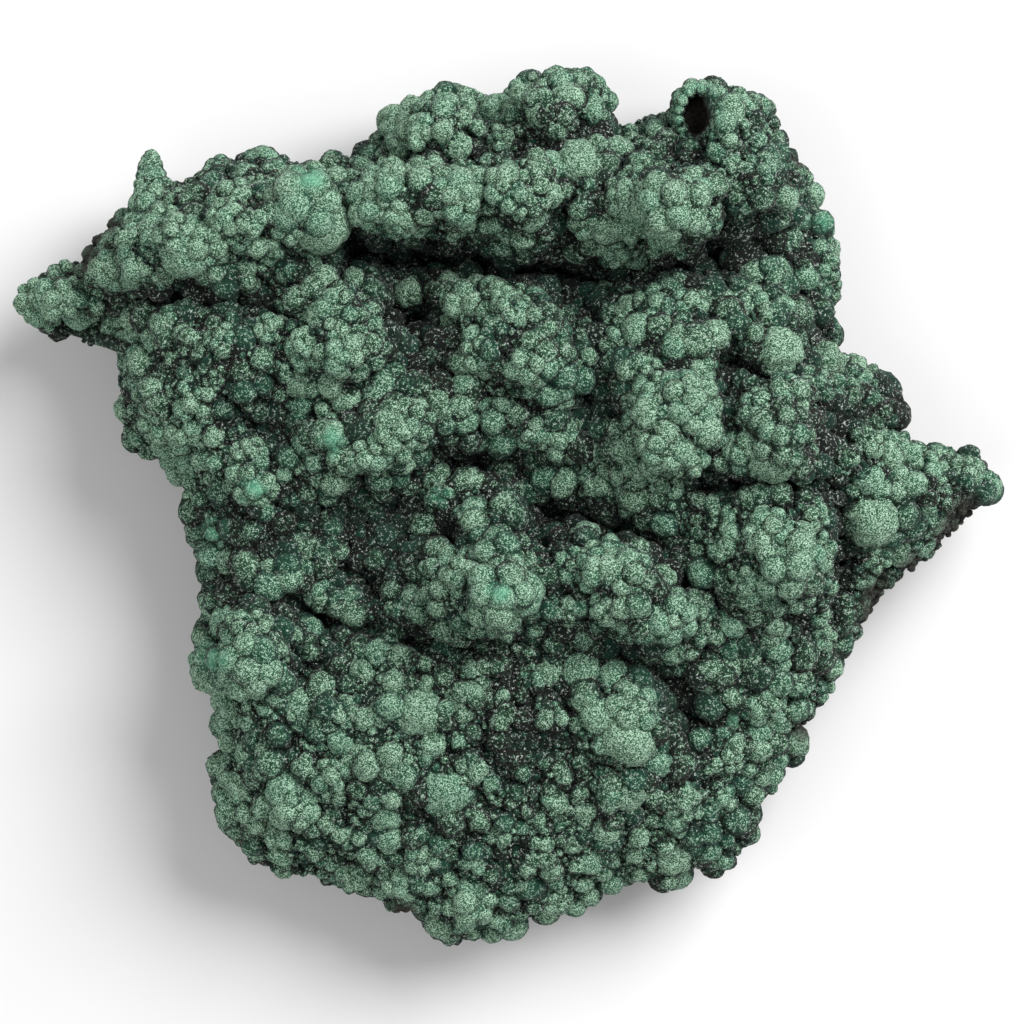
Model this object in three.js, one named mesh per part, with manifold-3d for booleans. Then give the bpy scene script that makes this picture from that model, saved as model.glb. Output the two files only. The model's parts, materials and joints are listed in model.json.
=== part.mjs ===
// Botryoidal malachite hand specimen: one natural stone lying on its flat back.
// Millimetres, +Z up. The origin is the middle of the bounding box's underside.
//
// The stone is one closed solid. Its skin is a sphere whose upper half is moved to the lumpy
// face, its lower half to the flat-bottomed back and its equator to the ragged rim. The horn is
// joined on, and the pit of a broken growth is cut out.

import * as THREE from "three";
import { mergeVertices } from "three/addons/utils/BufferGeometryUtils.js";
import Module from "manifold-3d";

// ---- Driving dimensions ----

const FACE_HEIGHT = 19; // the face's own level above the ground, away from the ridges
const RIM_HEIGHT = 9.5; // where the face's curve and the back's curve meet
const RIM_ROUND = 8; // how far in from the rim the face has reached its full height
const RIM_SCALLOP = 0.45; // how far, at most, the rim leaves the smooth outline
const BACK_FLAT = 0.66; // share of the way from the middle to the rim that is flat on the ground
const TOE_DROP = 5; // how much lower the face lies along its southern edge
const SINK = 0.3; // how deep a lobe's centre lies under the face, as a share of its radius
const SPREAD = 1.3; // a lobe's radius at its foot, where smaller growths crowd round it

const AROUND = 152; // facets round the rim
const FACE_RINGS = 27; // rings of facets on the face
const BACK_RINGS = 5; // rings of facets on the back

// ---- The rim's outline, clockwise from the west ----

const MIDDLE = new THREE.Vector2(0, 5); // the face is drawn outwards from here
const OUTLINE = [
  [-55, 24.2], [-51, 26.8], [-47.8, 27.6], [-45.2, 31.5], [-42.4, 33.7], [-38, 36.4], [-34.5, 38],
  [-31, 38.8], [-28, 40.6], [-24, 38.8], [-19, 39.2], [-15.2, 40.6], [-14, 44.5], [-9, 46.6],
  [-5, 46.4], [-2, 45.2], [2, 48], [5.5, 48.8], [9, 48.4], [11, 43.6], [13.5, 42.8], [15.5, 44.2],
  [18.4, 44.6], [21.4, 48], [26, 46], [28.6, 44], [31.6, 40.4], [33.6, 36.4], [34.4, 32.8],
  [36.8, 27.2], [36.6, 21], [36.4, 17.6], [41.4, 15], [43.8, 11.4], [43.6, 8.6], [48, 6.2],
  [51.6, 5.8], [55, 2.4], [50.8, -1.4], [48.2, -5], [42.6, -8], [40.2, -12], [37.2, -16.6],
  [35.2, -21.2], [33, -24.4], [32.2, -28], [28.8, -32], [27.4, -36], [25, -39.8], [21.2, -41.4],
  [17, -43], [12.6, -42], [8.6, -43.4], [5, -45.4], [1.6, -47.4], [-2.4, -48], [-6, -49.1],
  [-9.6, -47.6], [-13, -45], [-19, -42.8], [-24.4, -41.4], [-30, -39.6], [-33.4, -34],
  [-33.4, -28], [-32.8, -23], [-35.2, -17.6], [-34.4, -12], [-35.2, -6], [-37, 0], [-38.6, 4.8],
  [-43.2, 7], [-44.6, 12], [-44.2, 17], [-46.4, 20], [-50.4, 20.6], [-53.6, 20.6],
];

// ---- Ridges and furrows of the face: x, y, half length, half width, turn in degrees, height ----

const SWELLS = [
  // northern ridge and the hills behind it
  [-38, 29, 9, 4.5, 12, 7], [-24, 32, 6, 5, 0, 9], [-31, 31, 5, 4, 0, 3], [-11, 33.6, 7, 3.6, -5, 11],
  [0, 34, 6, 3.8, 0, 9], [8, 35, 5, 4, 0, 5], [17.5, 33, 6, 4.6, 0, 11], [28, 34.5, 6, 5, 10, 9],
  [-9, 43, 5, 3.6, 0, 9], [4, 45, 6, 3.8, 0, 10], [24, 43, 5, 4.5, 0, 11], [0, 39, 12, 2, 0, 2],
  // middle and southern hills
  [-30, 17, 10, 6, 0, 5], [-18, 19, 6, 5.5, 0, 8], [2, 18, 7.5, 6, 0, 9], [22, 20, 10, 5, 0, 7],
  [-35, 8, 8, 6, 0, 4], [-14, 7.5, 10, 4.5, 15, 8], [17, 9, 6, 7, 0, 10], [29, 9, 7, 7, 0, 10],
  [40, 6, 10, 5.5, 0, 4], [-2.5, -8.5, 6.5, 6, 0, 10], [12, -9, 9, 5, -25, 9],
  [28, -4.5, 8, 7, 0, 9], [-31, -16, 6, 5, 0, 6], [-5, -28, 24, 16, 0, 5], [13, -24, 5, 6, 0, 3],
  // furrows
  [-10, 27.6, 10, 2.2, -6, -12], [5, 26, 8, 2, -8, -10], [20, 27.4, 7, 2, 8, -9],
  [-11, 20.5, 4, 1.8, 0, -7], [9.5, 11.6, 3, 1.6, 0, -12], [-4, 5.4, 7, 2.2, -8, -7],
  [9, -1.8, 7, 1.6, -18, -9], [26, 2.7, 8, 1.5, 0, -7], [-22, -11.8, 7, 1.8, -18, -6],
  [14, -16.6, 5, 2, -30, -6], [19, -8, 4, 1.6, -40, -6], [-39, 23.4, 9, 1.6, -8, -8],
  [36, -5, 1.6, 6, 0, -6], [-7, -14.6, 8, 2, 0, -6], [33, 19.6, 2, 1.6, 0, -6],
  // low ground between the big growths
  [-13, -1, 7, 5, 0, -5], [-13, 21, 4, 4, 0, -4], [7, 21, 4, 5, 0, -6], [23, 22, 6, 3, 0, -3],
  [23.5, 12, 2, 3.4, 0, -4], [34.5, 8, 3, 3, 0, -6], [42, 12.4, 2, 2.4, 0, -3],
  [3, -3, 3, 3.4, 0, -7], [-17, -8, 5, 2.4, -10, -5], [-28, 9.5, 5, 3, 0, -3],
  [18, -23, 3, 4, 0, -4], [27, 31.4, 5, 2.4, 10, -5], [-23, -16, 3, 4, 0, -3],
];

// ---- Lobes, the larger round growths of the face: x, y, radius ----

const LOBES = [
  // north-western ridge and the western spur
  [-52, 23, 2.6], [-47.5, 24, 2.6], [-43, 25.6, 3], [-38, 29.5, 2.8], [-35.5, 27.2, 3.2],
  [-31.2, 25.8, 3], [-33, 29.5, 3], [-36.5, 32.5, 2.8], [-30.5, 32.8, 3.2], [-27, 34.6, 2.5],
  [-22.8, 32.8, 3.6], [-32.4, 37.2, 2], [-28.3, 38.2, 2.2], [-43, 31, 2.4],
  // northern ridge
  [-15.5, 33.4, 2.8], [-12, 31.8, 2.8], [-12.4, 35.8, 2.6], [-8, 33.8, 3.2], [-4.2, 34.6, 2.6],
  [0.4, 34.8, 2.9], [4, 34.4, 2.4], [7.2, 37.8, 2.8], [8.6, 31.4, 2.4], [12.8, 31.8, 2.8],
  [11.6, 28.4, 2], [16.8, 33, 3.4], [19.8, 34.6, 2.4], [19.2, 30.4, 2.6], [24.2, 35.2, 2.6],
  [27.4, 36.6, 2.4], [31.4, 36.4, 2.4], [34.2, 31.2, 2.2],
  // hills behind the ridge
  [-12, 43, 3], [-7.6, 44, 2.8], [-8.6, 40.2, 2.4], [1.2, 45, 3], [5.4, 46, 2.6], [9, 46, 2.2],
  [3.4, 42, 2.4], [13.2, 40, 2], [21, 46.2, 2.4], [25.4, 44.8, 2.6], [25.4, 40.6, 2.4], [29.2, 40.8, 2],
  // middle band
  [-19.6, 20.8, 3.2], [-16.6, 18.4, 3], [-21.6, 16.6, 2.4], [-31.8, 18.2, 2.4], [-38.6, 18.4, 2.4],
  [-26.4, 19.4, 2], [-38.4, 9.2, 2.8], [-43, 12.4, 2], [-29, 3.8, 3], [-36, 5, 2], [-0.4, 21.2, 2.7],
  [3.6, 19.8, 3], [1.4, 16.6, 3.2], [-3, 17.6, 2.6], [12, 22.4, 2.2], [12.6, 18.4, 2.2],
  [19.6, 21.8, 2.4], [25.4, 22.6, 2.4], [29, 17.6, 2.8], [34.6, 25.4, 2.8], [33.8, 15.4, 2.8],
  [35.4, 12.4, 2.4], [39.4, 12.6, 2.2],
  // the high growths
  [-9.4, 9.8, 2.8], [-13.6, 7.6, 3], [-17.8, 5.6, 2.6], [15.4, 12.8, 2.6], [19, 11.8, 3.2],
  [16.4, 6.4, 3.2], [17.6, 3, 2.6], [4.8, 8, 2.8], [27, 11.4, 2.8], [29.2, 7.8, 3.2], [26, 5.8, 2.6],
  [-1, -5.2, 2.9], [-5.2, -7.4, 2.6], [0.6, -9.4, 3.2], [-3, -10.4, 3.2], [7, -6, 2.6],
  [12.4, -7.2, 3.2], [9.4, -11.4, 2.6], [17, -12, 3], [16.4, -7.8, 2], [27.8, -2.4, 2.8],
  [32.4, -1.6, 2.4], [30.2, -6.2, 3.8], [26, -8.4, 2.4], [39.6, -1.6, 2.8], [24.2, -12.6, 2.2],
  [40.4, 6.4, 2.6], [45.8, 4, 2.6], [51, 3.4, 2.4], [45.6, -3.2, 2.2], [-8.4, 2.4, 2.2],
  // southern field and rim
  [-28.8, -17.4, 3.2], [-33, -17.2, 2.6], [-29.6, -13, 2.4], [-10.2, -22.6, 2.6], [-25, -31.6, 2.8],
  [-7.4, -31, 2.8], [13.2, -22.6, 2.8], [12.4, -26.2, 2.6], [8.4, -18.2, 2.2], [22.4, -18.8, 2.4],
  [-4.8, -43.6, 2.8], [27.6, -22, 2.6], [-28.2, -37.4, 2.4], [4.6, -43, 2.4], [-18.2, -40.4, 2.4],
  [31, -27, 2.2], [-19.4, -29.4, 2.6], [-17.4, -23.6, 2.4], [12.4, -31.2, 2.6], [20.6, -32, 2.8],
  [18.2, -39.6, 2.6], [-12, -41.4, 2.6], [-13.6, -35.4, 2.4], [33.6, -14.6, 2.2], [-23, -4.4, 2.2],
  [-30.6, -29, 2.4], [1.6, -26.4, 2.2], [6.8, -37, 2.2], [-1.4, -36.4, 2.2], [31, -19.4, 2],
];

// ---- The horn, a short upright growth on the north-western rim: x, y, z, radius ----

const HORN = [[-39.6, 33.6, 17, 2.9], [-40, 36, 16.2, 2.2], [-40.2, 38, 15.4, 1.4]];

// ---- The broken growth's pit: its middle and its radii ----

const PIT = { at: [20.3, 42.7, 30], radii: [1.7, 2.4, 6] };

// ---- Shape functions ----

// The outline as a closed line of points on a smooth curve.
const outline = new THREE.CatmullRomCurve3(
  OUTLINE.map(([x, y]) => new THREE.Vector3(x, y, 0)),
  true,
).getPoints(OUTLINE.length * 6);

// How far the stone reaches from MIDDLE at a bearing: the farthest crossing of the outline.
function reachAt(turn) {
  const [dx, dy] = [Math.cos(turn), Math.sin(turn)];
  let reach = 0;
  for (let i = 1; i < outline.length; i++) {
    const [px, py] = [outline[i - 1].x - MIDDLE.x, outline[i - 1].y - MIDDLE.y];
    const [qx, qy] = [outline[i].x - MIDDLE.x, outline[i].y - MIDDLE.y];
    const [pSide, qSide] = [dx * py - dy * px, dx * qy - dy * qx];
    const crosses = pSide > 0 !== qSide > 0;
    if (!crosses) continue;
    const share = pSide / (pSide - qSide);
    const along = dx * (px + share * (qx - px)) + dy * (py + share * (qy - py));
    reach = Math.max(reach, along);
  }
  return reach;
}

// The shortest distance from a point to the outline.
function rimDistance(x, y) {
  return Math.min(...outline.map((p) => Math.hypot(p.x - x, p.y - y)));
}

// The face without its lobes: its level, the southern drop, and every swell as a bell curve.
function swellHeight(x, y) {
  let z = FACE_HEIGHT - TOE_DROP * THREE.MathUtils.smoothstep(-y, 15, 45);
  for (const [cx, cy, length, width, turn, height] of SWELLS) {
    const a = THREE.MathUtils.degToRad(turn);
    const u = ((x - cx) * Math.cos(a) + (y - cy) * Math.sin(a)) / length;
    const v = (-(x - cx) * Math.sin(a) + (y - cy) * Math.cos(a)) / width;
    z += height * Math.exp(-(u * u + v * v));
  }
  return z;
}

// Each lobe with its foot's radius and its centre's height.
const lobes = LOBES.map(([cx, cy, r]) => {
  const foot = SPREAD * r;
  return { cx, cy, foot, cz: swellHeight(cx, cy) - SINK * r };
});

// The face with its lobes: at each place the highest of the swells and of every lobe's dome.
function lobedHeight(x, y) {
  let z = swellHeight(x, y);
  for (const { cx, cy, foot, cz } of lobes) {
    const across = (x - cx) ** 2 + (y - cy) ** 2;
    if (across < foot * foot) z = Math.max(z, cz + Math.sqrt(foot * foot - across));
  }
  return z;
}

// The face with its rounded rim: a quarter circle from the rim up to the full height.
function faceSurface(x, y, rim) {
  if (rim) return RIM_HEIGHT;
  const inward = Math.min(rimDistance(x, y) / RIM_ROUND, 1);
  const round = Math.sqrt(1 - (1 - inward) ** 2);
  return RIM_HEIGHT + (lobedHeight(x, y) - RIM_HEIGHT) * round;
}

// The back: flat on the ground in the middle, then curving up to the rim.
function backSurface(share) {
  return RIM_HEIGHT * THREE.MathUtils.smoothstep(share, BACK_FLAT, 1.15);
}

// ---- Solids ----

const wasm = await Module();
wasm.setup();

// A closed three.js geometry as a solid that can be joined and cut.
function solid(geometry) {
  const bare = geometry.clone();
  bare.deleteAttribute("normal");
  bare.deleteAttribute("uv");
  const merged = mergeVertices(bare, 1e-4);
  return new wasm.Manifold(
    new wasm.Mesh({
      numProp: 3,
      vertProperties: merged.attributes.position.array,
      triVerts: new Uint32Array(merged.index.array),
    }),
  );
}

// The stone's skin. three.js sphere rows run from its +Y pole, so its Y becomes the stone's Z.
function skin() {
  const rings = FACE_RINGS + BACK_RINGS;
  const sphere = new THREE.SphereGeometry(1, AROUND, rings);
  const at = sphere.attributes.position;
  for (let i = 0; i < at.count; i++) {
    const ring = Math.floor(i / (AROUND + 1));
    const turn = (2 * Math.PI * (i % (AROUND + 1) % AROUND)) / AROUND - Math.PI;
    const onFace = ring <= FACE_RINGS;
    const share = onFace ? ring / FACE_RINGS : (rings - ring) / BACK_RINGS;
    const scallop = RIM_SCALLOP * share * Math.sin(47 * turn) * Math.sin(13 * turn);
    const reach = share * (reachAt(turn) + scallop);
    const x = MIDDLE.x + reach * Math.cos(turn);
    const y = MIDDLE.y + reach * Math.sin(turn);
    const z = onFace ? faceSurface(x, y, ring === FACE_RINGS) : backSurface(share);
    at.setXYZ(i, x, y, z);
  }
  return solid(sphere);
}

const horn = HORN.map(([x, y, z, r]) => solid(new THREE.IcosahedronGeometry(r, 2).translate(x, y, z)));
const pit = solid(new THREE.IcosahedronGeometry(1, 2).scale(...PIT.radii).translate(...PIT.at));
const stone = horn.reduce((whole, growth) => whole.add(growth), skin()).subtract(pit);

// ---- The part ----

// The stone's triangles as a three.js geometry, with the origin under the middle of its box.
function stoneGeometry() {
  const mesh = stone.getMesh();
  const geometry = new THREE.BufferGeometry();
  const places = new THREE.BufferAttribute(new Float32Array(mesh.vertProperties), 3);
  geometry.setAttribute("position", places);
  geometry.setIndex(new THREE.BufferAttribute(new Uint32Array(mesh.triVerts), 1));
  geometry.computeBoundingBox();
  const { min, max } = geometry.boundingBox;
  geometry.translate(-(min.x + max.x) / 2, -(min.y + max.y) / 2, -min.z);
  geometry.computeVertexNormals();
  return geometry;
}

const velvetGreen = new THREE.MeshStandardMaterial({ color: 0x4f8468, roughness: 0.85, metalness: 0 });

const specimen = new THREE.Mesh(stoneGeometry(), velvetGreen);
specimen.name = "malachite_specimen";

const part = new THREE.Group();
part.add(specimen);

export default part;
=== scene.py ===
import json
import math
import bpy
import numpy as np
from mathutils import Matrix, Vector

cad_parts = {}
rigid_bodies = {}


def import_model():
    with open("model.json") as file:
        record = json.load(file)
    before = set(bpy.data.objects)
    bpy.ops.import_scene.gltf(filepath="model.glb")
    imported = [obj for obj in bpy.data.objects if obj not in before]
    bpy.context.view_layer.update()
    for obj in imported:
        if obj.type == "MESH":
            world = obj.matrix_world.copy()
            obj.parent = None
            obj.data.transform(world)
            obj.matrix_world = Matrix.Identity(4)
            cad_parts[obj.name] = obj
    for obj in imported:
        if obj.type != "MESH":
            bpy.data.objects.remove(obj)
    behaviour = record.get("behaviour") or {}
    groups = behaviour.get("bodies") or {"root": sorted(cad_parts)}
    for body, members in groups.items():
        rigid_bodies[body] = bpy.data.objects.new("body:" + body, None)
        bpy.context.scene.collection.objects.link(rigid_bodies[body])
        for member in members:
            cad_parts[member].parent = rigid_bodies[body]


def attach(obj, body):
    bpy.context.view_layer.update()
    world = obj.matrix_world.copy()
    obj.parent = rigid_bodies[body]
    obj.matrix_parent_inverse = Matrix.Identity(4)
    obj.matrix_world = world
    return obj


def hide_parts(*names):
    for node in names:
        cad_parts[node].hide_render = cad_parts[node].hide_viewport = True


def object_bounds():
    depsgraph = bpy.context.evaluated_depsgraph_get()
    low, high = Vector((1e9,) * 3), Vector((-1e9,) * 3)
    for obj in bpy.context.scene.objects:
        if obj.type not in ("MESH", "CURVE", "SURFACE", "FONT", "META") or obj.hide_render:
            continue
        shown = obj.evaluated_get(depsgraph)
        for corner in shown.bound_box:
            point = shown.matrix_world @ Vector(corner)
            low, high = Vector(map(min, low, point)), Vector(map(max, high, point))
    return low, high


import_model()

cadBox = [list(corner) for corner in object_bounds()]
mm = 0.001
low, high = (np.array(corner) / mm for corner in cadBox)
print("frame loaded, box in mm", low.round(1), high.round(1))

# shapes are worked out in millimetres, from the middle of the stone's underside

camera = {
    "lens": 180,  # mm, long, so that the high growths hardly lean outwards
    "sensor": 36,  # mm across
    "frameWidth": 113.8,  # what the picture takes in at the stone's middle height
    "aim": (-0.1, -0.55, 14),  # the middle of the picture
}

cameraData = bpy.data.cameras.new("camera")
cameraObject = bpy.data.objects.new("camera", cameraData)
bpy.context.collection.objects.link(cameraObject)
cameraData.lens = camera["lens"]
cameraData.sensor_width = camera["sensor"]
aim = Vector(camera["aim"])
distance = camera["frameWidth"] * camera["lens"] / camera["sensor"]
cameraObject.location = (aim + Vector((0, 0, distance))) * mm
cameraData.clip_start = 0.01
cameraData.clip_end = 10
bpy.context.scene.camera = cameraObject
print("camera set")

# x, y in mm along the rim, clockwise from the western spur's tip
rim = np.array([
    (-54.6, 23.6), (-52.8, 25.3), (-51, 26.5), (-48.4, 26.9), (-47.4, 28.5), (-45.6, 30.8),
    (-44, 32.6), (-42, 33.6), (-39, 35.2), (-37.4, 36.2), (-35, 36.9), (-33.6, 38), (-31.4, 38.4),
    (-29.6, 39.2), (-28, 40.1), (-25.8, 38.6), (-22.5, 38.2), (-18, 39.2), (-15.6, 40.2),
    (-14.4, 43.4), (-12.4, 44.6), (-9.4, 46), (-7.4, 46.5), (-5, 46), (-2.7, 44.6), (0, 46),
    (2, 47.5), (4.8, 47.8), (6.4, 48.5), (8.8, 48), (10.3, 46.6), (10, 44.4), (11.2, 42.4),
    (13.8, 42.4), (15.4, 44), (17.2, 43.2), (18.6, 44.8), (20.2, 47), (21.8, 47.4), (24.6, 46.6),
    (26.2, 45.4), (28, 44.2), (29.4, 41.2), (31.2, 40), (32.4, 37.6), (33.2, 35.4), (33.6, 32.8),
    (35.2, 30.8), (36.2, 28.2), (36.2, 25), (35.8, 22.8), (36.4, 20), (35.6, 17.4), (38.4, 16.2),
    (40.8, 14.9), (42.4, 13), (43.4, 10.8), (43, 8.4), (45.4, 6.6), (48.2, 5.5), (50.8, 5.6),
    (53, 3.8), (54.4, 2.4), (53, 0.7), (50.8, -1), (49.2, -2.8), (47.4, -5), (44, -7.1),
    (41.8, -8.4), (40.2, -11), (38.4, -13.8), (37, -16.6), (35.4, -20), (34, -22.4), (32.4, -24.4),
    (32.2, -27.4), (30, -29.4), (28.6, -31.6), (27.2, -34), (26.4, -37), (24.8, -39.4),
    (22, -40.8), (19.8, -40.8), (17.4, -42.4), (15, -42.4), (12.6, -41.4), (9.6, -43), (7, -44.3),
    (4.4, -45), (1.6, -46.4), (-0.8, -47.8), (-3.4, -47.6), (-5.8, -48.6), (-8.4, -48.2),
    (-10.2, -46.2), (-12.6, -45.2), (-15, -43.4), (-18.4, -42.4), (-21.6, -41.2), (-24.8, -40.6),
    (-28.4, -39.8), (-30.2, -37.8), (-32.4, -34.8), (-33, -31), (-32.6, -27.4), (-32.2, -23.4),
    (-34, -19.6), (-34.8, -17.2), (-34, -13), (-34.2, -9.4), (-35, -4.8), (-36.6, -0.6),
    (-36.4, 3), (-39, 5.4), (-42.4, 7), (-44, 10.4), (-43.8, 13), (-44, 15), (-43, 18),
    (-45.6, 20.2), (-48.4, 20.4), (-51, 20.6), (-53.2, 20.8), (-54.4, 22),
])

stone = {
    "middle": (0, 5),  # the face is drawn outwards from here
    "faceHeight": 19,
    "rimHeight": 9.5,
    "rimRound": 8,  # how far in from the rim the face has reached its full height
    "toeDrop": 5,  # how much lower the southern edge lies
    "backFlat": 0.66,  # share of the way to the rim where the back is flat
    "rimInset": 0.9,  # room left along the rim for the growths that stand on it
}

# ridges and furrows: x, y, half length, half width, turn in degrees, height
swells = np.array([
    (-38, 29, 9, 4.5, 12, 7), (-24, 32, 6, 5, 0, 9), (-31, 31, 5, 4, 0, 3),
    (-11, 33.6, 7, 3.6, -5, 11), (0, 34, 6, 3.8, 0, 9), (8, 35, 5, 4, 0, 5),
    (17.5, 33, 6, 4.6, 0, 11), (28, 34.5, 6, 5, 10, 9),
    (-9, 43, 5, 3.6, 0, 9), (4, 45, 6, 3.8, 0, 10), (24, 43, 5, 4.5, 0, 11), (0, 39, 12, 2, 0, 2),
    (20.3, 42.9, 1.8, 2.4, 0, -3),
    (-30, 17, 10, 6, 0, 5), (-18, 19, 6, 5.5, 0, 8), (2, 18, 7.5, 6, 0, 9), (22, 20, 10, 5, 0, 7),
    (-35, 8, 8, 6, 0, 4), (-14, 7.5, 10, 4.5, 15, 8), (17, 9, 6, 7, 0, 10), (29, 9, 7, 7, 0, 10),
    (40, 6, 10, 5.5, 0, 4), (-2.5, -8.5, 6.5, 6, 0, 10), (12, -9, 9, 5, -25, 9),
    (28, -4.5, 8, 7, 0, 9), (-31, -16, 6, 5, 0, 6), (-5, -28, 24, 16, 0, 5), (13, -24, 5, 6, 0, 3),
    (-10, 27.6, 10, 2.2, -6, -12), (5, 26, 8, 2, -8, -10), (20, 27.4, 7, 2, 8, -9),
    (-11, 20.5, 4, 1.8, 0, -7), (9.5, 11.6, 3, 1.6, 0, -12),
    (-4, 5.4, 7, 2.2, -8, -7), (9, -1.8, 7, 1.6, -18, -9), (26, 2.7, 8, 1.5, 0, -7),
    (-22, -11.8, 7, 1.8, -18, -6), (14, -16.6, 5, 2, -30, -6), (19, -8, 4, 1.6, -40, -6),
    (-39, 23.4, 9, 1.6, -8, -8), (36, -5, 1.6, 6, 0, -6), (-7, -14.6, 8, 2, 0, -6),
    (33, 19.6, 2, 1.6, 0, -6), (24.4, 16, 2.4, 1.6, 0, -6), (28.4, 14, 2, 1, 0, -4),
    (22, -23.4, 2.6, 1.4, 0, -5), (-6.4, -4, 2.6, 1.4, 0, -6),
    # gaps across the northern ridge
    (-17.8, 32, 1.2, 4.5, 0, -7), (-8.6, 30, 1.3, 2.4, 0, -5), (5.9, 32, 1.3, 4, 0, -7),
    (10, 35.6, 1.8, 1.8, 0, -4), (14.4, 30.5, 0.9, 3, 0, -5), (23.2, 31.4, 1.2, 3.4, 0, -6),
    (-26, 33, 1, 2.4, 20, -5), (-3.6, 31, 1, 2.2, 0, -4), (-4, 38, 8, 1.1, 8, -3.5),
    (-34, 31.6, 1.2, 2.6, 40, -3.5), (9, 41.5, 3, 1.4, 0, -3),
    # low ground between the big growths
    (-13, -1, 7, 5, 0, -5), (-13, 21, 4, 4, 0, -4), (7, 21, 4, 5, 0, -6), (23, 22, 6, 3, 0, -3),
    (23.5, 12, 2, 3.4, 0, -4), (34.5, 8, 3, 3, 0, -6), (42, 12.4, 2, 2.4, 0, -3),
    (3, -3, 3, 3.4, 0, -7), (-17, -8, 5, 2.4, -10, -5), (-28, 9.5, 5, 3, 0, -3),
    (18, -23, 3, 4, 0, -4), (27, 31.4, 5, 2.4, 10, -5), (-23, -16, 3, 4, 0, -3), (3, 25, 3, 2, 0, -3),
])


def rimLine():
    # the rim as 4 straight steps between neighbouring points
    share = np.arange(4)[None, :, None] / 4
    steps = rim[:, None] * (1 - share) + np.roll(rim, -1, 0)[:, None] * share
    return steps.reshape(-1, 2)


rimPoints = rimLine()


def reachAt(turn):
    # distance from the middle to the farthest crossing of the rim, for each bearing
    middle = np.array(stone["middle"])
    p = rimPoints - middle
    q = np.roll(p, -1, 0)
    dx, dy = np.cos(turn)[:, None], np.sin(turn)[:, None]
    pSide = dx * p[:, 1] - dy * p[:, 0]
    qSide = dx * q[:, 1] - dy * q[:, 0]
    share = pSide / np.where(pSide == qSide, 1, pSide - qSide)
    along = dx * (p[:, 0] + share * (q - p)[:, 0]) + dy * (p[:, 1] + share * (q - p)[:, 1])
    crosses = (pSide > 0) != (qSide > 0)
    return np.where(crosses, along, 0).max(1) - stone["rimInset"]


def rimDistance(x, y):
    # shortest distance to the rim's points
    least = np.full(x.shape, 1e9)
    for start in range(0, len(rimPoints), 32):
        some = rimPoints[start:start + 32]
        away = (x[..., None] - some[:, 0]) ** 2 + (y[..., None] - some[:, 1]) ** 2
        least = np.minimum(least, away.min(-1))
    return np.maximum(np.sqrt(least) - stone["rimInset"], 0)


def swellHeight(x, y):
    # level minus the southern drop, plus height * exp(-(u^2 + v^2)) for every swell
    drop = np.clip((-y - 15) / 30, 0, 1)
    z = stone["faceHeight"] - stone["toeDrop"] * drop * drop * (3 - 2 * drop)
    for cx, cy, length, width, degrees, height in swells:
        a = math.radians(degrees)
        u = ((x - cx) * math.cos(a) + (y - cy) * math.sin(a)) / length
        v = (-(x - cx) * math.sin(a) + (y - cy) * math.cos(a)) / width
        z = z + height * np.exp(-(u * u + v * v))
    return z


def faceHeight(x, y, atRim=None):
    # rim height plus the swells above it, times a quarter circle of the distance to the rim
    inward = np.clip(rimDistance(x, y) / stone["rimRound"], 0, 1)
    if atRim is not None:
        inward = np.where(atRim, 0, inward)
    arch = np.sqrt(1 - (1 - inward) ** 2)
    return stone["rimHeight"] + (swellHeight(x, y) - stone["rimHeight"]) * arch


def squareToDisc(u, v):
    # concentric map: squares round the middle become circles, so the cells keep their area
    a, b = 2 * u - 1, 2 * v - 1
    r = np.maximum(np.abs(a), np.abs(b))
    wide = np.abs(a) > np.abs(b)
    safeA, safeB = np.where(a == 0, 1e-12, a), np.where(b == 0, 1e-12, b)
    turn = np.where(wide, math.pi / 4 * b / safeA, math.pi / 2 - math.pi / 4 * a / safeB)
    flip = np.where(wide, a < 0, b < 0)
    return r, turn + math.pi * flip


def hashNumbers(cells, seed):
    # three numbers from 0 to 1 for each whole-number cell
    x, y, z = (cells[..., k].astype(np.int64) for k in range(3))
    mixed = (x * 73856093) ^ (y * 19349663) ^ (z * 83492791) ^ (seed * 2654435761)
    out = []
    for k in range(3):
        mixed = (mixed ^ (mixed >> 13)) * 1274126177 + k * 7919
        mixed &= 0xFFFFFFFF
        out.append(((mixed ^ (mixed >> 16)) & 0xFFFF) / 65535)
    return np.stack(out, -1)


def domes(points, cell, seed, size=0.72):
    # sqrt(1 - (d / r)^2), d being the distance to the nearest of one loose point per cell
    base = np.floor(points / cell)
    best = np.full(points.shape[:-1], 9.0)
    for dx in (-1, 0, 1):
        for dy in (-1, 0, 1):
            for dz in (-1, 0, 1):
                there = base + (dx, dy, dz)
                spot = there + 0.15 + 0.7 * hashNumbers(there, seed)
                best = np.minimum(best, (((points / cell) - spot) ** 2).sum(-1))
    return np.sqrt(np.clip(1 - best / size ** 2, 0, 1))


def softNoise(points, cell, seed):
    # numbers from 0 to 1 on a cubic lattice, joined smoothly
    base = np.floor(points / cell)
    part = points / cell - base
    part = part * part * (3 - 2 * part)
    total = 0
    for corner in range(8):
        step = np.array([corner & 1, corner >> 1 & 1, corner >> 2 & 1])
        weight = np.where(step, part, 1 - part).prod(-1)
        total = total + weight * hashNumbers(base + step, seed)[..., 0]
    return total


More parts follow.
